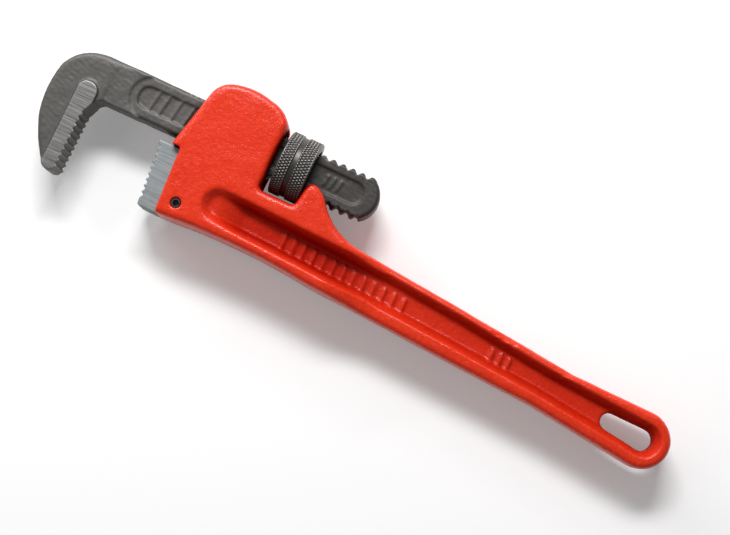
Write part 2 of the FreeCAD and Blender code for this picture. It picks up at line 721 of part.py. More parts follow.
def make_heel_jaw_pin():
    """Spring pin rolled from strip: a bevelled tube with a slit along it."""
    body = new_body("heel_jaw_pin")
    shift = {"x": "pin_x", "y": "pin_y"}
    ring = new_sketch(body, "pin_section", "XY_Plane", shift)
    draw_circle(ring, "zero", "zero", "pin_radius")
    rod = body.newObject("PartDesign::Pad", "pin_rod")
    rod.Profile = ring
    rod.SideType = "Symmetric"
    rod.setExpression("Length", cell("pin_length"))
    doc.recompute()
    bevel = body.newObject("PartDesign::Chamfer", "pin_bevel")
    bevel.Base = (rod, edge_names(rod, lambda edge: edge.BoundBox.ZLength < 0.01))
    bevel.setExpression("Size", cell("pin_chamfer"))
    doc.recompute()
    bore = new_sketch(body, "pin_bore_section", "XY_Plane", shift)
    draw_circle(bore, "zero", "zero", "pin_bore_radius")
    cut_both_ways(body, "pin_bore", bore, "cut_reach")
    slit = new_sketch(body, "pin_slit_section", "XY_Plane", shift)
    draw_outline(slit, box_outline("zero", "-pin_slit_half",
                                   "pin_radius+pin_slit_half", "pin_slit_half"))
    cut_both_ways(body, "pin_slit", slit, "cut_reach")
    return body


def make_adjusting_nut():
    """Round nut with two raised bands and the left-handed thread that drives the shank."""
    body = new_body("adjusting_nut")
    section = new_sketch(body, "nut_section", "XY_Plane")
    draw_outline(section, [
        ("nut_start_x", "nut_mouth_radius"), ("nut_start_x", "nut_radius-nut_bevel"),
        ("nut_start_x+nut_bevel", "nut_radius"), ("nut_band_end_x", "nut_radius"),
        ("nut_band_end_x", "nut_waist_radius"), ("nut_band_start_x", "nut_waist_radius"),
        ("nut_band_start_x", "nut_radius"), ("nut_end_x-nut_bevel", "nut_radius"),
        ("nut_end_x", "nut_radius-nut_bevel"), ("nut_end_x", "nut_mouth_radius"),
        ("nut_end_x-nut_mouth_bevel", "nut_minor_radius"),
        ("nut_start_x+nut_mouth_bevel", "nut_minor_radius"),
    ])
    turned = body.newObject("PartDesign::Revolution", "nut_blank")
    turned.Profile = section
    turned.ReferenceAxis = (section, ["H_Axis"])
    turned.Angle = 360
    doc.recompute()

    before = body.Shape.Volume
    profile = new_sketch(body, "nut_groove_section", "XY_Plane", {"x": "nut_groove_start_x"})
    draw_outline(profile, [
        ("-nut_groove_mouth_half", "nut_groove_mouth_radius"),
        ("nut_groove_mouth_half", "nut_groove_mouth_radius"),
        ("nut_groove_root_half", "nut_major_radius"), ("-nut_groove_root_half", "nut_major_radius"),
    ])
    thread = body.newObject("PartDesign::SubtractiveHelix", "nut_thread")
    thread.Profile = profile
    thread.ReferenceAxis = (profile, ["H_Axis"])
    thread.Mode = "pitch-height-angle"
    thread.setExpression("Pitch", cell("thread_pitch"))
    thread.setExpression("Height", cell("nut_groove_run"))
    thread.LeftHanded = True
    doc.recompute()
    check_cut(body, "nut_thread", before)
    return body


def make_flat_spring():
    """Leaf that arches between its two ends, which bear on the shank's back edge."""
    body = new_body("flat_spring")
    side_view = new_sketch(body, "leaf_plan", "XY_Plane")
    top = "leaf_contact_y+leaf_thickness"
    draw_outline(side_view, [
        ("leaf_front_x", "leaf_contact_y"), ("leaf_rear_x", "leaf_contact_y"),
        ("leaf_rear_x", top), ("leaf_front_x", top),
    ], {0: ("leaf_radius", -1), 2: ("leaf_radius", 1)})
    pad_both_ways(body, "leaf", side_view, "leaf_half")
    hole = new_sketch(body, "leaf_hole_section", "XY_Plane", {"x": "coil_x"})
    draw_outline(hole, box_outline("zero", "leaf_contact_y", "rivet_radius", "coil_roof_y"))
    before = body.Shape.Volume
    bore = body.newObject("PartDesign::Groove", "leaf_hole")
    bore.Profile = hole
    bore.ReferenceAxis = (hole, ["V_Axis"])
    bore.Angle = 360
    doc.recompute()
    check_cut(body, "leaf_hole", before)
    return body


def make_spring_rivet():
    """Rivet through the leaf, with its upper head inside the coil."""
    body = new_body("spring_rivet")
    section = new_sketch(body, "rivet_section", "XY_Plane", {"x": "coil_x"})
    draw_outline(section, [
        ("zero", "rivet_low_y"), ("rivet_head_radius", "rivet_low_y"),
        ("rivet_head_radius", "rivet_low_seat_y"), ("rivet_radius", "rivet_low_seat_y"),
        ("rivet_radius", "rivet_high_seat_y"), ("rivet_head_radius", "rivet_high_seat_y"),
        ("rivet_head_radius", "rivet_high_y"), ("zero", "rivet_high_y"),
    ])
    turned = body.newObject("PartDesign::Revolution", "rivet_blank")
    turned.Profile = section
    turned.ReferenceAxis = (section, ["V_Axis"])
    turned.Angle = 360
    doc.recompute()
    return body


def make_coil_spring():
    """Compression spring between the leaf and the roof of its seat, wound about a Y line."""
    line = doc.addObject("Part::Helix", "coil_line")
    line.setExpression("Radius", cell("coil_mean_radius"))
    line.setExpression("Pitch", cell("coil_pitch"))
    line.setExpression("Height", cell("coil_length"))
    wire = doc.addObject("Part::Circle", "coil_wire")
    wire.setExpression("Radius", cell("coil_wire_radius"))
    wire.Placement = FreeCAD.Placement(Vector(), FreeCAD.Rotation(Vector(1, 0, 0), 90))
    wire.setExpression("Placement.Base.x", cell("coil_mean_radius"))
    doc.recompute()
    coil = doc.addObject("Part::Sweep", "coil_spring")
    coil.Label = "coil_spring"
    coil.Sections = [wire]
    coil.Spine = (line, [f"Edge{index + 1}" for index in range(len(line.Shape.Edges))])
    coil.Solid = True
    coil.Frenet = True
    coil.Placement = FreeCAD.Placement(
        Vector(value("coil_x"), value("coil_foot_y"), 0), FreeCAD.Rotation(Vector(1, 0, 0), -90))
    doc.recompute()
    return coil


def lay_flat(pieces):
    """Give every piece the Placement that puts the origin at the bottom centre of the whole."""
    box = FreeCAD.BoundBox()
    for piece in pieces:
        box.add(piece.Shape.optimalBoundingBox(False))
    shift = FreeCAD.Placement(Vector(-box.Center.x, -box.Center.y, -box.ZMin), FreeCAD.Rotation())
    for piece in pieces:
        piece.Placement = shift.multiply(piece.Placement)
    doc.recompute()
    return shift.Base


def check_document(pieces):
    """Stop if any object failed to compute or a piece isn't one valid solid."""
    for item in doc.Objects:
        if "Invalid" in item.State or "Error" in item.State:
            raise RuntimeError(f"{item.Name} failed: {item.State}")
    for piece in pieces:
        shape = piece.Shape
        if shape.isNull() or not shape.isValid() or len(shape.Solids) != 1:
            raise RuntimeError(f"{piece.Label} is not one valid solid")


pieces = [
    make_handle(), make_heel_jaw(), make_heel_jaw_pin(), make_coil_spring(),
    make_flat_spring(), make_spring_rivet(), make_hook_jaw(), make_adjusting_nut(),
]
origin = lay_flat(pieces)
check_document(pieces)
for piece in pieces:
    piece.Shape.exportStep(f"parts/{piece.Label}.step")
    print(f"{piece.Label}: {piece.Shape.Volume / 1000:.2f} cm3")
print(f"design zero at x {origin.x:.3f}, shank axis at y {origin.y:.3f}, middle z {origin.z:.3f}")
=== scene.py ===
"""Looks of a straight pipe wrench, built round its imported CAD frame.

Everything is in metres in the frame's own axes. Places on the wrench are written in millimetres on
the design's axes, and spot() turns them into the frame: X along the shank towards the handle's end,
Y from the shank's axis with the jaws on the negative side, Z from the middle plane.
"""
import json
import math
import bmesh
import bpy
import numpy as np
from mathutils import Matrix, Vector


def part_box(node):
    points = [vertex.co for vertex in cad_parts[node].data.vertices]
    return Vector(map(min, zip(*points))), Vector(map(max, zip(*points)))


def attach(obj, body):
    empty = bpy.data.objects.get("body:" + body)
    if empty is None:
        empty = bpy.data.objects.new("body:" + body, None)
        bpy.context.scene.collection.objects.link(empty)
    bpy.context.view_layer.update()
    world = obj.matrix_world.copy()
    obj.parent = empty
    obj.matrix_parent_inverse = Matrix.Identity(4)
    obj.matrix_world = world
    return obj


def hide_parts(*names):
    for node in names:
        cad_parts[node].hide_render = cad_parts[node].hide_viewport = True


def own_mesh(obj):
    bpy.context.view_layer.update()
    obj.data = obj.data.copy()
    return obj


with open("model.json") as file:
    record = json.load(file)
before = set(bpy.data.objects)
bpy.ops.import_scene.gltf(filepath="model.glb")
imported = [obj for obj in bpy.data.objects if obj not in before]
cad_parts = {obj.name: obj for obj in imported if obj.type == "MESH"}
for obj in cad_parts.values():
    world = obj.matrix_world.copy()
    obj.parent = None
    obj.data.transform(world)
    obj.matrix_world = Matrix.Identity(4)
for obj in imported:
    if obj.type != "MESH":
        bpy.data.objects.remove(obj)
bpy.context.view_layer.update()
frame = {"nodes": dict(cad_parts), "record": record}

MM = 0.001
RANDOM = np.random.default_rng(14)

# The nut's box gives the shank's axis and the middle plane, and its two ends on the design's axes
# give the zero along the shank.
NUT_LOW, NUT_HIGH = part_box("adjusting_nut")
NUT_START, NUT_END = 4.5, 20.1
ORIGIN = (NUT_LOW + NUT_HIGH) / 2 - Vector(((NUT_START + NUT_END) / 2 * MM, 0, 0))
NODE_BODY = {node: body for body, nodes in frame["record"]["behaviour"]["bodies"].items() for node in nodes}


def spot(x, y, z=0.0):
    """Point of the frame for millimetres on the design's axes."""
    return ORIGIN + Vector((x, y, z)) * MM


def on_design_axes(points):
    """Frame points, an array in metres, as millimetres on the design's axes."""
    return (points - np.array(ORIGIN)) / MM


# ---------------------------------------------------------------- mesh tools

BAR_END_SIDES = 10
RAY_START_Z = 60.0


def new_piece(name, mesh, body):
    """Object for a mesh, riding on a CAD body; its finish comes from the material that the caller adds to
    the mesh.
    """
    piece = bpy.data.objects.new(name, mesh)
    bpy.context.scene.collection.objects.link(piece)
    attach(piece, body)
    return piece


def copy_of_node(node):
    """Watertight bmesh with the CAD node's faces."""
    form = bmesh.new()
    form.from_mesh(frame["nodes"][node].data)
    bmesh.ops.remove_doubles(form, verts=form.verts, dist=0.002 * MM)
    return form


def voxel_mesh(form, name, voxel_mm):
    """Even mesh of quads round the bmesh, which is freed."""
    rough = bpy.data.meshes.new(f"{name}_rough")
    form.to_mesh(rough)
    form.free()
    carrier = bpy.data.objects.new(f"{name}_carrier", rough)
    bpy.context.scene.collection.objects.link(carrier)
    voxels = carrier.modifiers.new("voxels", "REMESH")
    voxels.mode = "VOXEL"
    voxels.voxel_size = voxel_mm * MM
    voxels.use_smooth_shade = True
    graph = bpy.context.evaluated_depsgraph_get()
    mesh = bpy.data.meshes.new_from_object(carrier.evaluated_get(graph))
    mesh.name = name
    bpy.data.objects.remove(carrier)
    return mesh


def read_points(mesh):
    """Vertex positions as an array."""
    points = np.empty(len(mesh.vertices) * 3)
    mesh.vertices.foreach_get("co", points)
    return points.reshape(-1, 3)


def write_points(mesh, points):
    """Set the vertex positions."""
    mesh.vertices.foreach_set("co", points.astype(np.float32).ravel())
    mesh.update()


def smooth(mesh, rounds, share):
    """Even out the mesh: each round moves a vertex up to half way to its neighbours' mean place,
    times its share, which is from 0 to 1."""
    points = read_points(mesh)
    count = len(points)
    ends = np.empty(len(mesh.edges) * 2, np.int64)
    mesh.edges.foreach_get("vertices", ends)
    first, second = ends.reshape(-1, 2).T
    degree = np.bincount(ends, minlength=count)[:, None]
    step = 0.5 * share[:, None]
    for _ in range(rounds):
        total = np.empty_like(points)
        for axis in range(3):
            total[:, axis] = (np.bincount(first, points[second, axis], count)
                              + np.bincount(second, points[first, axis], count))
        points += step * (total / degree - points)
    write_points(mesh, points)


def read_normals(mesh):
    """Vertex normals as an array."""
    normals = np.empty(len(mesh.vertices) * 3)
    mesh.vertices.foreach_get("normal", normals)
    return normals.reshape(-1, 3)


def bumps(points, shortest_mm, longest_mm, waves):
    """Smooth random relief, about -1 to 1: a sum of plane waves in random directions."""
    total = np.zeros(len(points))
    for _ in range(waves):
        direction = RANDOM.normal(size=3)
        direction /= np.linalg.norm(direction)
        length = RANDOM.uniform(shortest_mm, longest_mm) * MM
        phase = RANDOM.uniform(0, 2 * math.pi)
        total += np.sin(points @ direction * (2 * math.pi / length) + phase)
    return total * math.sqrt(2 / waves)


def push_out(mesh, amounts_mm):
    """Move each vertex along its normal."""
    write_points(mesh, read_points(mesh) + read_normals(mesh) * (amounts_mm * MM)[:, None])


def add_bar(form, start, end, half_width, top, bottom):
    """Bar with round ends from start to end (flat points in mm), between two heights in mm."""
    start, end = Vector(start), Vector(end)
    along = math.atan2(end.y - start.y, end.x - start.x)
    rim = []
    for centre, turn in ((end, -math.pi / 2), (start, math.pi / 2)):
        for step in range(BAR_END_SIDES + 1):
            angle = along + turn + math.pi * step / BAR_END_SIDES
            rim.append((centre.x + half_width * math.cos(angle), centre.y + half_width * math.sin(angle)))
    lower = [form.verts.new(spot(x, y, bottom)) for x, y in rim]
    upper = [form.verts.new(spot(x, y, top)) for x, y in rim]
    count = len(rim)
    form.faces.new(upper)
    form.faces.new(lower[::-1])
    for index in range(count):
        following = (index + 1) % count
        form.faces.new((lower[index], lower[following], upper[following], upper[index]))


def floor_height(node, x, y, side):
    """Height in mm of the CAD node's surface at a place, met from above (side 1) or below (-1)."""
    start = spot(x, y, RAY_START_Z * side)
    hit, place, _, _ = frame["nodes"][node].ray_cast(start, Vector((0, 0, -side)))
    return (place.z - ORIGIN.z) / MM if hit else 0.0


# ---------------------------------------------------------------- material tools

# Sockets of a Mix node for each kind of data: the share, the first and second value, the result
MIX_SOCKETS = {"FLOAT": (0, 2, 3, 0), "VECTOR": (0, 4, 5, 1), "RGBA": (0, 6, 7, 2)}


class Graph:
    """Short way to build one procedural material. Its patterns are laid out in metres on a piece's
    own axes, so they keep their real size."""

    def __init__(self, name):
        self.material = bpy.data.materials.new(name)
        self.material.use_nodes = True
        self.tree = self.material.node_tree
        self.shader = self.tree.nodes["Principled BSDF"]
        self.place = self.node("ShaderNodeTexCoord").outputs["Object"]

    def node(self, kind, settings=None, **inputs):
        """Add a node. Inputs are numbers, colours or other nodes' outputs."""
        made = self.tree.nodes.new(kind)
        for key, value in (settings or {}).items():
            setattr(made, key, value)
        for key, value in inputs.items():
            self.feed(made.inputs[key.replace("_", " ")], value)
        return made

    def feed(self, socket, value):
        """Link an output to the socket or set its value."""
        if isinstance(value, bpy.types.NodeSocket):
            self.tree.links.new(value, socket)
        else:
            socket.default_value = value

    def maths(self, operation, *values):
        """Result of a Math node."""
        made = self.tree.nodes.new("ShaderNodeMath")
        made.operation = operation
        for socket, value in zip(made.inputs, values):
            self.feed(socket, value)
        return made.outputs[0]

    def noise(self, grain_mm, detail=2.0, roughness=0.5, stretch=(1, 1, 1)):
        """Noise whose grains are about that many millimetres across, times the stretch."""
        scaling = self.node("ShaderNodeVectorMath", {"operation": "MULTIPLY"})
        self.feed(scaling.inputs[0], self.place)
        self.feed(scaling.inputs[1], tuple(1 / (grain_mm * MM * part) for part in stretch))
        made = self.node("ShaderNodeTexNoise", Scale=1.0, Detail=detail, Roughness=roughness)
        self.feed(made.inputs["Vector"], scaling.outputs[0])
        return made.outputs["Fac"]

    def between(self, value, low, high, smoothly=True):
        """0 at low, 1 at high, a slope in between and flat past both; low may be the larger."""
        kind = "SMOOTHSTEP" if smoothly else "LINEAR"
        made = self.node("ShaderNodeMapRange", {"interpolation_type": kind})
        self.feed(made.inputs["Value"], value)
        made.inputs["From Min"].default_value = low
        made.inputs["From Max"].default_value = high
        return made.outputs["Result"]

    def mix(self, kind, share, first, second):
        """First value where the share is 0, second where it is 1."""
        made = self.node("ShaderNodeMix", {"data_type": kind})
        *places, result = MIX_SOCKETS[kind]
        for place, value in zip(places, (share, first, second)):
            self.feed(made.inputs[place], value)
        return made.outputs[result]

    def blend(self, share, first, second):
        """Colour from first to second."""
        pair = [(*part, 1.0) if isinstance(part, tuple) else part for part in (first, second)]
        return self.mix("RGBA", share, *pair)

    def blend_numbers(self, share, first, second):
        """Number from first to second."""
        return self.mix("FLOAT", share, first, second)

    def tint(self, colour, mask, strength, second):
        """Colour with a second one laid over it where the mask says, at most that strongly."""
        return self.blend(self.maths("MULTIPLY", mask, strength), colour, second)

    def pointiness(self):
        """About 0.5 on flats, less in hollows and more on outer edges."""
        return self.node("ShaderNodeNewGeometry").outputs["Pointiness"]

    def edges(self, low, high):
        """0 in hollows and on flats, 1 on outer edges."""
        return self.between(self.pointiness(), low, high)

    def hollows(self, low, high):
        """1 in hollows, 0 on flats and outer edges."""
        return self.between(self.pointiness(), high, low)

    def open_sky(self, reach_mm, low, high):
        """0 where walls nearer than the reach close the place in, 1 where it lies open."""
        made = self.node("ShaderNodeAmbientOcclusion", {"samples": 8}, Distance=reach_mm * MM)
        return self.between(made.outputs["AO"], low, high)

    def bump(self, height, depth_mm, under=None):
        """Normal for a height map, on top of another normal."""
        made = self.node("ShaderNodeBump", Height=height, Distance=depth_mm * MM, Strength=1.0)
        if under:
            self.feed(made.inputs["Normal"], under)
        return made.outputs["Normal"]

    def finish(self, colour, roughness, normal, **fixed):
        """Connect the shader; fixed are values that are the same all over."""
        self.feed(self.shader.inputs["Base Color"], colour)
        self.feed(self.shader.inputs["Roughness"], roughness)
        self.feed(self.shader.inputs["Normal"], normal)
        for key, value in fixed.items():
            self.shader.inputs[key.replace("_", " ")].default_value = value
        return self.material


def paint_material():
    """Glossy red-orange enamel over rough cast iron: orange peel and cast grain, with painted shade in
    hollows and in places closed in by walls, where its gloss is also turned down.
    """
    graph = Graph("red_enamel")
    tone = graph.noise(14, detail=3)
    mottle = graph.noise(1.6, detail=3, roughness=0.6)
    colour = graph.blend(tone, (0.74, 0.026, 0.004), (0.83, 0.034, 0.007))
    colour = graph.blend(graph.between(mottle, 0.35, 0.75), colour, (0.88, 0.045, 0.010))
    # Painted shade: hollows darkened towards a deep red.
    colour = graph.tint(colour, graph.hollows(0.44, 0.49), 0.6, (0.40, 0.010, 0.004))
    # Painted shade: places closed in by walls within 15 mm, such as the trough, are darkened towards a near
    # black red.
    open_sky = graph.open_sky(15, 0.55, 1.0)
    colour = graph.blend(open_sky, (0.30, 0.002, 0.001), colour)
    peel = graph.bump(graph.noise(1.0, detail=3, roughness=0.65), 0.17)
    grain = graph.bump(graph.noise(0.45, detail=2, roughness=0.6), 0.06, peel)
    graph.feed(graph.shader.inputs["Coat Normal"], grain)
    # Gloss is turned down in the same closed-in places.
    graph.feed(graph.shader.inputs["Specular IOR Level"], graph.maths("MULTIPLY", open_sky, 0.28))
    graph.feed(graph.shader.inputs["Coat Weight"], graph.maths("MULTIPLY", open_sky, 0.35))
    roughness = graph.blend_numbers(graph.noise(5, detail=2), 0.28, 0.38)
    return graph.finish(colour, roughness, grain, Coat_Roughness=0.12)


def forged_material():
    """Grey phosphate on forged steel, with the jaw's ground pads brighter and finely lined, and painted
    shade in its hollows and closed-in places.
    """
    graph = Graph("forged_steel")
    mottle = graph.noise(6.0, detail=4, roughness=0.6)
    fine = graph.noise(0.7, detail=3, roughness=0.7)
    colour = graph.blend(mottle, (0.088, 0.083, 0.078), (0.115, 0.109, 0.103))
    colour = graph.blend(graph.between(fine, 0.45, 0.8), colour, (0.155, 0.148, 0.141))
    parts = graph.node("ShaderNodeSeparateXYZ", Vector=graph.place)
    oiled = graph.between(parts.outputs["X"], spot(OIL_START_X, 0).x, spot(OIL_FULL_X, 0).x)
    colour = graph.tint(colour, oiled, 0.55, (0.032, 0.028, 0.024))
    colour = graph.tint(colour, graph.edges(0.52, 0.60), 0.7, (0.34, 0.33, 0.32))
    # Painted shade: hollows darkened nearly to black, and places closed in by walls within 6 mm darkened
    # further.
    colour = graph.tint(colour, graph.hollows(0.43, 0.48), 0.7, (0.03, 0.028, 0.026))
    colour = graph.blend(graph.open_sky(6, 0.35, 0.95), (0.022, 0.020, 0.019), colour)

    off_middle = graph.maths("ABSOLUTE", graph.maths("SUBTRACT", parts.outputs["Z"], ORIGIN.z))
    ground = graph.between(off_middle, (PAD_HALF - PAD_FADE_START) * MM, (PAD_HALF - PAD_FADE_END) * MM)
    lines = graph.noise(0.3, detail=2, roughness=0.7, stretch=(60, 1, 1))
    line_tone = graph.between(lines, 0.32, 0.68, smoothly=False)
    ground_colour = graph.blend(line_tone, (0.10, 0.095, 0.09), (0.40, 0.39, 0.38))
    colour = graph.blend(ground, colour, ground_colour)

    cast = graph.bump(graph.noise(0.8, detail=3, roughness=0.65), 0.035)
    cast = graph.bump(graph.noise(0.4, detail=2), 0.02, cast)
    normal = graph.mix("VECTOR", ground, cast, graph.bump(lines, 0.02))
    roughness = graph.blend_numbers(ground, graph.blend_numbers(mottle, 0.46, 0.58), 0.40)
    return graph.finish(colour, roughness, normal, Metallic=0.5)


def ground_material():
    """Ground steel with fine lines along X and a faint cloudiness, its hollows and its sides painted dark
    as shade.
    """
    graph = Graph("ground_steel")
    lines = graph.noise(0.3, detail=2, roughness=0.7, stretch=(60, 1, 1))
    cloud = graph.noise(3.5, detail=3)
    line_tone = graph.between(lines, 0.32, 0.68, smoothly=False)
    colour = graph.blend(line_tone, (0.19, 0.215, 0.225), (0.40, 0.43, 0.44))
    colour = graph.tint(colour, graph.between(cloud, 0.45, 0.7), 0.5, (0.34, 0.37, 0.38))
    # Painted shade: hollows darkened nearly to black.
    colour = graph.tint(colour, graph.hollows(0.40, 0.47), 0.8, (0.06, 0.06, 0.06))
    # Painted shade: faces that point neither up nor down, the sides, are set nearly black.
    geometry = graph.node("ShaderNodeNewGeometry")
    facing = graph.node("ShaderNodeSeparateXYZ", Vector=geometry.outputs["True Normal"])
    on_flat = graph.between(graph.maths("ABSOLUTE", facing.outputs["Z"]), 0.5, 0.9)
    colour = graph.blend(on_flat, (0.045, 0.046, 0.047), colour)
    normal = graph.bump(lines, 0.016)
    roughness = graph.blend_numbers(cloud, 0.42, 0.52)
    return graph.finish(colour, roughness, normal, Metallic=0.35)


def nut_material():
    """Dark phosphate with the knurl's tips rubbed bright and its valleys painted near black as shade."""
    graph = Graph("nut_steel")
    mottle = graph.noise(1.8, detail=4, roughness=0.6)
    colour = graph.blend(mottle, (0.060, 0.056, 0.052), (0.115, 0.108, 0.100))
    colour = graph.tint(colour, graph.edges(0.51, 0.58), 0.9, (0.42, 0.40, 0.38))
    # Painted shade: the knurl's valleys and other hollows darkened nearly to black.
    colour = graph.tint(colour, graph.hollows(0.44, 0.49), 0.9, (0.010, 0.009, 0.008))
    normal = graph.bump(graph.noise(0.4, detail=3), 0.02)
    roughness = graph.blend_numbers(mottle, 0.32, 0.46)
    return graph.finish(colour, roughness, normal, Metallic=0.7)


def spring_material():
    """Dark drawn spring steel with faint marks along X."""
    graph = Graph("spring_steel")
    marks = graph.noise(0.3, detail=3, stretch=(12, 1, 1))
    colour = graph.blend(marks, (0.12, 0.12, 0.125), (0.26, 0.26, 0.27))
    colour = graph.tint(colour, graph.edges(0.52, 0.62), 0.6, (0.45, 0.45, 0.46))
    normal = graph.bump(marks, 0.008)
    return graph.finish(colour, graph.blend_numbers(marks, 0.28, 0.42), normal, Metallic=0.9)


def black_material():
    """Black oxide of the rolled pin."""
    graph = Graph("black_oxide")
    mottle = graph.noise(0.8, detail=3)
    colour = graph.blend(mottle, (0.012, 0.012, 0.012), (0.030, 0.030, 0.031))
    colour = graph.tint(colour, graph.edges(0.53, 0.63), 0.5, (0.16, 0.16, 0.16))
    normal = graph.bump(graph.noise(0.35, detail=2), 0.012)
    return graph.finish(colour, graph.blend_numbers(mottle, 0.34, 0.5), normal, Metallic=0.5)


def floor_material():
    """Plain white studio paper, with a faint glow of its own that keeps the shadows pale."""
    graph = Graph("studio_paper")
    grain = graph.noise(2.0, detail=2)
    colour = graph.blend(grain, (0.93, 0.93, 0.93), (0.95, 0.95, 0.95))
    return graph.finish(colour, 0.9, graph.bump(grain, 0.01), Emission_Color=(1, 1, 1, 1),
                        Emission_Strength=0.2)


# ---------------------------------------------------------------- handle

TROUGH_START = Vector((-12.0, -32.7))
TROUGH_END = Vector((213.8, -47.6))
# Rows of bars: where each starts, how many, how far apart, and half their length
BAR_ROWS = ((22.0, 13, 5.3, 3.6), (133.0, 3, 4.4, 3.0))
BAR_HALF_WIDTH, BAR_HEIGHT, BAR_ROOT = 0.85, 0.9, 1.0

PIN_PLACE = (-30.5, -40.0)
PIN_EDGE_RADIUS = 4.2
HEEL_SEAT_X, HEEL_SEAT_Y = -36.5, -13.0
PASSAGE_END_X, PASSAGE_FLOOR_Y, PASSAGE_ROOF_Y, PASSAGE_HALF = 6.0, -12.5, 15.0, 9.3
MACHINED_SHARE, SEAT_SHARE = 0.1, 0.35
SAND_HEIGHT, SWELL_HEIGHT = 0.018, 0.04


def trough_point(x, offset):
    """Point over the trough's middle line at x, and so far to its upper side."""
    share = (x - TROUGH_START.x) / (TROUGH_END.x - TROUGH_START.x)
    middle = TROUGH_START.lerp(TROUGH_END, share)
    return Vector((middle.x, middle.y + offset))


def add_trough_bars(form):
    """Plain raised bars on the trough's floor, on both sides of the web."""
    for side in (1, -1):
        for start, count, pitch, half_length in BAR_ROWS:
            for index in range(count):
                x = start + index * pitch
                base = floor_height("handle", x, trough_point(x, 0).y, side)
                add_bar(form, trough_point(x, -half_length), trough_point(x, half_length),
                        BAR_HALF_WIDTH, base + side * BAR_HEIGHT, base - side * BAR_ROOT)


def handle_share(points):
    """How freely the handle's surface evens out: the drilled and machined places keep their edges."""
    x, y, z = on_design_axes(points).T
    share = np.ones(len(points))
    from_pin = np.hypot(x - PIN_PLACE[0], y - PIN_PLACE[1])
    share[from_pin < PIN_EDGE_RADIUS] = MACHINED_SHARE
    share[(x < HEEL_SEAT_X) & (y < HEEL_SEAT_Y)] = SEAT_SHARE
    in_height = (y > PASSAGE_FLOOR_Y) & (y < PASSAGE_ROOF_Y)
    share[(x < PASSAGE_END_X) & in_height & (abs(z) < PASSAGE_HALF)] = MACHINED_SHARE
    return share


def make_handle():
    """Cast handle with softened edges and the faint relief of a sand mould under the paint."""
    form = copy_of_node("handle")
    add_trough_bars(form)
    mesh = voxel_mesh(form, "handle_casting", voxel_mm=0.6)
    share = handle_share(read_points(mesh))
    smooth(mesh, rounds=6, share=share)
    points = read_points(mesh)
    sand = bumps(points, shortest_mm=2.0, longest_mm=4.0, waves=60)
    swell = bumps(points, shortest_mm=9.0, longest_mm=22.0, waves=30)
    push_out(mesh, (SAND_HEIGHT * sand + SWELL_HEIGHT * swell) * share)
    piece = new_piece("handle_casting", mesh, NODE_BODY["handle"])
    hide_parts("handle")
    mesh.materials.append(paint_material())


# ---------------------------------------------------------------- hook jaw

PAD_HALF = 9.5
PAD_FADE_START, PAD_FADE_END = 0.28, 0.12
SHANK_HALF_HEIGHT, TOOTH_ZONE = 10.75, 2.4
SCREW_START_X, SCREW_END_X = -36.0, 50.0
OIL_START_X, OIL_FULL_X = -24.0, 26.0
TEETH_LEFT_X, TEETH_RIGHT_X, TEETH_TOP_Y = -99.0, -85.0, -3.5
CROWN_LEFT_X, CROWN_RIGHT_X, CROWN_LOW_Y = -100.0, -76.0, -5.0
CROWN_SIDE_FADE, CROWN_LOW_FADE = 7.0, 5.0
SCREW_SHARE, TEETH_SHARE = 0.3, 0.16
SCALE_LINES_X = (-61.5, -56.4, -50.2, -43.6, -37.2, -30.8)
SIZE_BARS_X = (28.15, 31.55, 34.95)
MARK_ROOT = 0.8
FORGED_HEIGHT, FORGED_SWELL_HEIGHT = 0.02, 0.04
SKIN_INSET, CRISP_RELIEF = 0.03, 0.15


def hook_share(points):
    """How freely the hook jaw evens out: teeth, screw and ground pads keep their edges."""
    x, y, _ = on_design_axes(points).T
    share = np.ones(len(points))
    on_shank_edge = abs(y) > SHANK_HALF_HEIGHT - TOOTH_ZONE
    share[on_shank_edge & (x > SCREW_START_X) & (x < SCREW_END_X)] = SCREW_SHARE
    share[(x > TEETH_LEFT_X) & (x < TEETH_RIGHT_X) & (y < TEETH_TOP_Y)] = TEETH_SHARE
    return share


def crown_share(points):
    """How freely the crown evens out further, where the head runs into the shank."""
    x, y, _ = on_design_axes(points).T
    from_left = np.clip((x - CROWN_LEFT_X) / CROWN_SIDE_FADE, 0, 1)
    from_right = np.clip((CROWN_RIGHT_X - x) / CROWN_SIDE_FADE, 0, 1)
    from_below = np.clip((y - CROWN_LOW_Y) / CROWN_LOW_FADE, 0, 1)
    return from_left * from_right * from_below


def add_marks(form, places, lean, half_length, half_width, height):
    """Raised bars across both flats of the shank; lean is how far each end lies from its place in X."""
    for side in (1, -1):
        for x in places:
            base = floor_height("hook_jaw", x, 0, side)
            add_bar(form, (x - lean, -half_length), (x + lean, half_length), half_width,
                    base + side * height, base - side * MARK_ROOT)


def make_hook_jaw():
    """Forged hook jaw with softened skin and crisp teeth."""
    form = copy_of_node("hook_jaw")
    add_marks(form, SCALE_LINES_X, lean=0.8, half_length=4.7, half_width=0.45, height=0.6)
    add_marks(form, SIZE_BARS_X, lean=0.35, half_length=2.4, half_width=0.5, height=0.5)
    mesh = voxel_mesh(form, "hook_forging", voxel_mm=0.45)
    share = hook_share(read_points(mesh))
    smooth(mesh, rounds=5, share=share)
    smooth(mesh, rounds=50, share=crown_share(read_points(mesh)))
    points = read_points(mesh)
    skin = bumps(points, shortest_mm=1.6, longest_mm=3.5, waves=50)
    swell = bumps(points, shortest_mm=8.0, longest_mm=18.0, waves=30)
    relief = FORGED_HEIGHT * skin + FORGED_SWELL_HEIGHT * swell - SKIN_INSET
    push_out(mesh, relief * np.where(share < 1, CRISP_RELIEF, 1.0))
    piece = new_piece("hook_forging", mesh, NODE_BODY["hook_jaw"])
    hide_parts("hook_jaw")
    mesh.materials.append(forged_material())


# ---------------------------------------------------------------- heel jaw

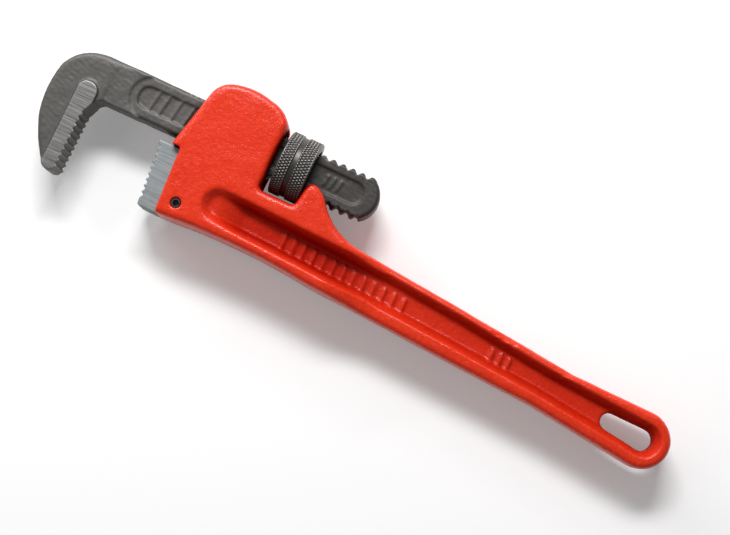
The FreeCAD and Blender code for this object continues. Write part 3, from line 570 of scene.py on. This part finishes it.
def make_heel_jaw():
    """Ground heel jaw with the burrs taken off its edges."""
    mesh = voxel_mesh(copy_of_node("heel_jaw"), "heel_block", voxel_mm=0.28)
    smooth(mesh, rounds=4, share=np.full(len(mesh.vertices), 0.8))
    piece = new_piece("heel_block", mesh, NODE_BODY["heel_jaw"])
    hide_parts("heel_jaw")
    mesh.materials.append(ground_material())


# ---------------------------------------------------------------- adjusting nut

BAND_END, BAND_START = 10.2, 13.1
BAND_RADIUS, WAIST_RADIUS, NUT_BEVEL = 15.8, 15.1, 0.9
MINOR_RADIUS, MAJOR_RADIUS = 11.45, 12.55
MOUTH_RADIUS, MOUTH_BEVEL = 12.7, 1.3
THREAD_PITCH, THREAD_PLACE = 5.0, -1.9
GROOVE_ROOT_HALF, GROOVE_MOUTH_HALF = 1.35, 1.86
KNURLS_ROUND, KNURL_LENGTH, KNURL_DEPTH = 65, 2.84, 0.55
KNURL_SLOPE, KNURL_FADE = 1.45, 0.5
RIGHT_BAND_SHIFT = 0.7
STEPS_PER_KNURL = 8
ARC_STEPS, WAIST_STEPS, BORE_STEPS = 5, 6, 60
BAND_SPACING, BAND_INSET, WAIST_INSET = 0.2, 0.15, 0.6
FACE_SHARES = (0.0, 0.35, 0.7)
# Outline of a band's shoulder: way into the waist and radius
SHOULDER = ((-0.05, BAND_RADIUS - 0.12), (0.05, WAIST_RADIUS + 0.2), (0.25, WAIST_RADIUS + 0.02))


def triangle_wave(cycles):
    """1 at whole cycles, 0 half way between."""
    return np.abs(2 * (cycles % 1) - 1)


def knurl_height(x, turn, start, end):
    """Height in mm of the diamond knurl between two ends of a band, never above the blank."""
    along = x / KNURL_LENGTH
    around = turn * KNURLS_ROUND
    ridge = np.minimum(triangle_wave(around + along), triangle_wave(around - along))
    tips = np.clip(KNURL_SLOPE * ridge, 0, 1)
    fade = np.clip(np.minimum(x - start, end - x) / KNURL_FADE, 0, 1)
    return -KNURL_DEPTH * (1 - tips) * fade


def bore_radius(x, turn):
    """Radius in mm of the left-handed thread, widened by the bevel at each mouth."""
    place = ((x - THREAD_PLACE) / THREAD_PITCH + turn) % 1
    off_middle = np.minimum(place, 1 - place) * THREAD_PITCH
    rise = np.clip((GROOVE_MOUTH_HALF - off_middle) / (GROOVE_MOUTH_HALF - GROOVE_ROOT_HALF), 0, 1)
    thread = MINOR_RADIUS + (MAJOR_RADIUS - MINOR_RADIUS) * rise
    from_mouth = np.minimum(x - NUT_START, NUT_END - x)
    bevel = MOUTH_RADIUS - (MOUTH_RADIUS - MINOR_RADIUS) * from_mouth / MOUTH_BEVEL
    return np.maximum(thread, bevel)


def corner(share):
    """Way in from the nut's face and radius on its rounded corner, from the face to the outside."""
    angle = share * math.pi / 2
    return NUT_BEVEL * (1 - math.cos(angle)), BAND_RADIUS - NUT_BEVEL * (1 - math.sin(angle))


def nut_outside():
    """Half section of the nut's outside as (x, radius) from its left mouth to its right mouth."""
    face_height = BAND_RADIUS - NUT_BEVEL - MOUTH_RADIUS
    steps = [(NUT_START, MOUTH_RADIUS + share * face_height) for share in FACE_SHARES]
    corners = [corner(index / ARC_STEPS) for index in range(ARC_STEPS + 1)]
    steps += [(NUT_START + inward, radius) for inward, radius in corners]
    left_band = np.arange(NUT_START + NUT_BEVEL + BAND_SPACING, BAND_END - BAND_INSET, BAND_SPACING)
    steps += [(x, BAND_RADIUS) for x in left_band]
    steps += [(BAND_END + inward, radius) for inward, radius in SHOULDER]
    waist = np.linspace(BAND_END + WAIST_INSET, BAND_START - WAIST_INSET, WAIST_STEPS)
    steps += [(x, WAIST_RADIUS) for x in waist]
    steps += [(BAND_START - inward, radius) for inward, radius in reversed(SHOULDER)]
    right_end = NUT_END - NUT_BEVEL - BAND_SPACING / 2
    right_band = np.arange(BAND_START + BAND_INSET, right_end, BAND_SPACING)
    steps += [(x, BAND_RADIUS) for x in right_band]
    steps += [(NUT_END - inward, radius) for inward, radius in reversed(corners)]
    steps += [(NUT_END, MOUTH_RADIUS + share * face_height) for share in reversed(FACE_SHARES[1:])]
    return np.array(steps)


def make_nut():
    """Adjusting nut as one closed grid of quads: outside with its knurl, then back through the bore."""
    turns = KNURLS_ROUND * STEPS_PER_KNURL
    turn = (np.arange(turns) / turns)[:, None]
    outside = nut_outside()
    bore_x = np.linspace(NUT_END, NUT_START, BORE_STEPS)[:-1]
    x = np.concatenate([outside[:, 0], bore_x])[None, :] + 0 * turn
    radius = np.concatenate([outside[:, 1], np.zeros(len(bore_x))])[None, :] + 0 * turn
    outer = slice(0, len(outside))
    bore = slice(len(outside), None)
    on_band = radius[:, outer] > BAND_RADIUS - 0.01
    left = knurl_height(x[:, outer], turn, NUT_START + KNURL_FADE, BAND_END)
    right = knurl_height(x[:, outer] + RIGHT_BAND_SHIFT, turn, BAND_START + RIGHT_BAND_SHIFT,
                         NUT_END + RIGHT_BAND_SHIFT - KNURL_FADE)
    radius[:, outer] += np.where(on_band, np.where(x[:, outer] < BAND_END, left, right), 0)
    radius[:, bore] = bore_radius(x[:, bore], turn)

    angle = 2 * math.pi * turn
    flat = np.stack([x, radius * np.cos(angle), radius * np.sin(angle)], -1).reshape(-1, 3)
    stations = x.shape[1]
    row, column = np.divmod(np.arange(turns * stations), stations)
    next_row, next_column = (row + 1) % turns, (column + 1) % stations
    faces = np.stack([row * stations + column, next_row * stations + column,
                      next_row * stations + next_column, row * stations + next_column], 1)
    mesh = bpy.data.meshes.new("knurled_nut")
    mesh.from_pydata([spot(*place) for place in flat.tolist()], [], faces.tolist())
    mesh.polygons.foreach_set("use_smooth", [True] * len(mesh.polygons))
    mesh.update()
    piece = new_piece("knurled_nut", mesh, NODE_BODY["adjusting_nut"])
    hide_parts("adjusting_nut")
    mesh.materials.append(nut_material())


# ---------------------------------------------------------------- springs, rivet and pin

EDGE_BREAK = 0.12


def make_coil(steel):
    """Coil spring from the CAD node, smoothed a little; it keeps one shape, though the real one shortens as
    the flat spring under it swings up.
    """
    form = copy_of_node("coil_spring")
    mesh = bpy.data.meshes.new("coil_wire")
    form.to_mesh(mesh)
    form.free()
    mesh.polygons.foreach_set("use_smooth", [True] * len(mesh.polygons))
    smooth(mesh, rounds=1, share=np.full(len(mesh.vertices), 0.2))
    piece = new_piece("coil_wire", mesh, NODE_BODY["coil_spring"])
    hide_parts("coil_spring")
    mesh.materials.append(steel)
    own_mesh(piece)


def finish_cad_pieces(spring):
    """Real finishes for leaf, rivet and pin, which keep their CAD shape; two get broken edges."""
    finishes = {"flat_spring": spring, "spring_rivet": spring, "heel_jaw_pin": black_material()}
    for node, material in finishes.items():
        piece = frame["nodes"][node]
        for slot in piece.material_slots:
            slot.link = "OBJECT"
            slot.material = material
    for node in ("flat_spring", "spring_rivet"):
        bevel = frame["nodes"][node].modifiers.new("edges", "BEVEL")
        bevel.width = EDGE_BREAK * MM
        bevel.segments = 2
        bevel.limit_method = "ANGLE"
        bevel.angle_limit = math.radians(40)


# ---------------------------------------------------------------- studio

VIEW_TURN = math.radians(25.04)
VIEW_TILT = math.radians(5.17)
VIEW_TARGET = spot(61.9, -29.01)
VIEW_DISTANCE = 0.807
VIEW_LENS = 84.14


def make_camera():
    """Camera almost straight above the wrench, which lies turned in the picture."""
    data = bpy.data.cameras.new("studio_camera")
    data.sensor_width = 36.0
    data.lens = VIEW_LENS
    camera = bpy.data.objects.new("studio_camera", data)
    bpy.context.scene.collection.objects.link(camera)
    right = Vector((math.cos(VIEW_TURN), math.sin(VIEW_TURN), 0))
    lower = Vector((math.sin(VIEW_TURN), -math.cos(VIEW_TURN), 0))
    back = math.cos(VIEW_TILT) * Vector((0, 0, 1)) + math.sin(VIEW_TILT) * lower
    up = back.cross(right)
    turn = Matrix((right, up, back)).transposed().to_4x4()
    camera.matrix_world = Matrix.Translation(VIEW_TARGET + back * VIEW_DISTANCE) @ turn
    bpy.context.scene.camera = camera


def make_floor():
    """Large pale sheet that the wrench lies on, its far edges curving up."""
    half, rise, flat_share, steps, gap = 3.0, 0.9, 0.6, 24, 0.0001
    form = bmesh.new()
    rows = []
    for index in range(steps + 1):
        along = -half + 2 * half * index / steps
        height = rise * max(0.0, abs(along) / half - flat_share) ** 2 - gap
        rows.append([form.verts.new((side * half, along, height)) for side in (-1, 1)])
    for lower, upper in zip(rows, rows[1:]):
        form.faces.new((lower[0], lower[1], upper[1], upper[0]))
    mesh = bpy.data.meshes.new("studio_floor")
    form.to_mesh(mesh)
    form.free()
    floor = bpy.data.objects.new("studio_floor", mesh)
    bpy.context.scene.collection.objects.link(floor)
    mesh.materials.append(floor_material())


def add_light(name, toward, distance, size, power):
    """Soft square light that faces the wrench's middle from a direction."""
    data = bpy.data.lights.new(name, "AREA")
    data.shape = "RECTANGLE"
    data.size, data.size_y = size
    data.energy = power
    light = bpy.data.objects.new(name, data)
    bpy.context.scene.collection.objects.link(light)
    direction = Vector(toward).normalized()
    light.location = VIEW_TARGET + direction * distance
    light.rotation_euler = direction.to_track_quat("Z", "Y").to_euler()


def make_lights():
    """Key panel from the picture's top, a low one from its upper left, a weak one from the left, and
    a dim room."""
    upward = Vector((-math.sin(VIEW_TURN), math.cos(VIEW_TURN), 0))
    leftward = Vector((-math.cos(VIEW_TURN), -math.sin(VIEW_TURN), 0))
    above = Vector((0, 0, 1))
    add_light("key_panel", upward + above * 1.05, 1.3, (0.7, 0.25), 15.0)
    add_light("low_panel", upward * 0.9 + leftward * 0.5 + above * 0.45, 1.3, (1.0, 0.07), 6.0)
    add_light("side_panel", leftward + upward * 0.2 + above * 0.9, 1.3, (0.6, 0.4), 1.0)
    world = bpy.data.worlds.new("studio_world")
    world.use_nodes = True
    world.node_tree.nodes["Background"].inputs["Color"].default_value = (1, 1, 1, 1)
    world.node_tree.nodes["Background"].inputs["Strength"].default_value = 0.15
    bpy.context.scene.world = world
    bpy.context.scene.view_settings.view_transform = "Standard"


make_camera()
make_floor()
make_lights()
make_handle()
make_hook_jaw()
make_heel_jaw()
make_nut()
spring_steel = spring_material()
make_coil(spring_steel)
finish_cad_pieces(spring_steel)
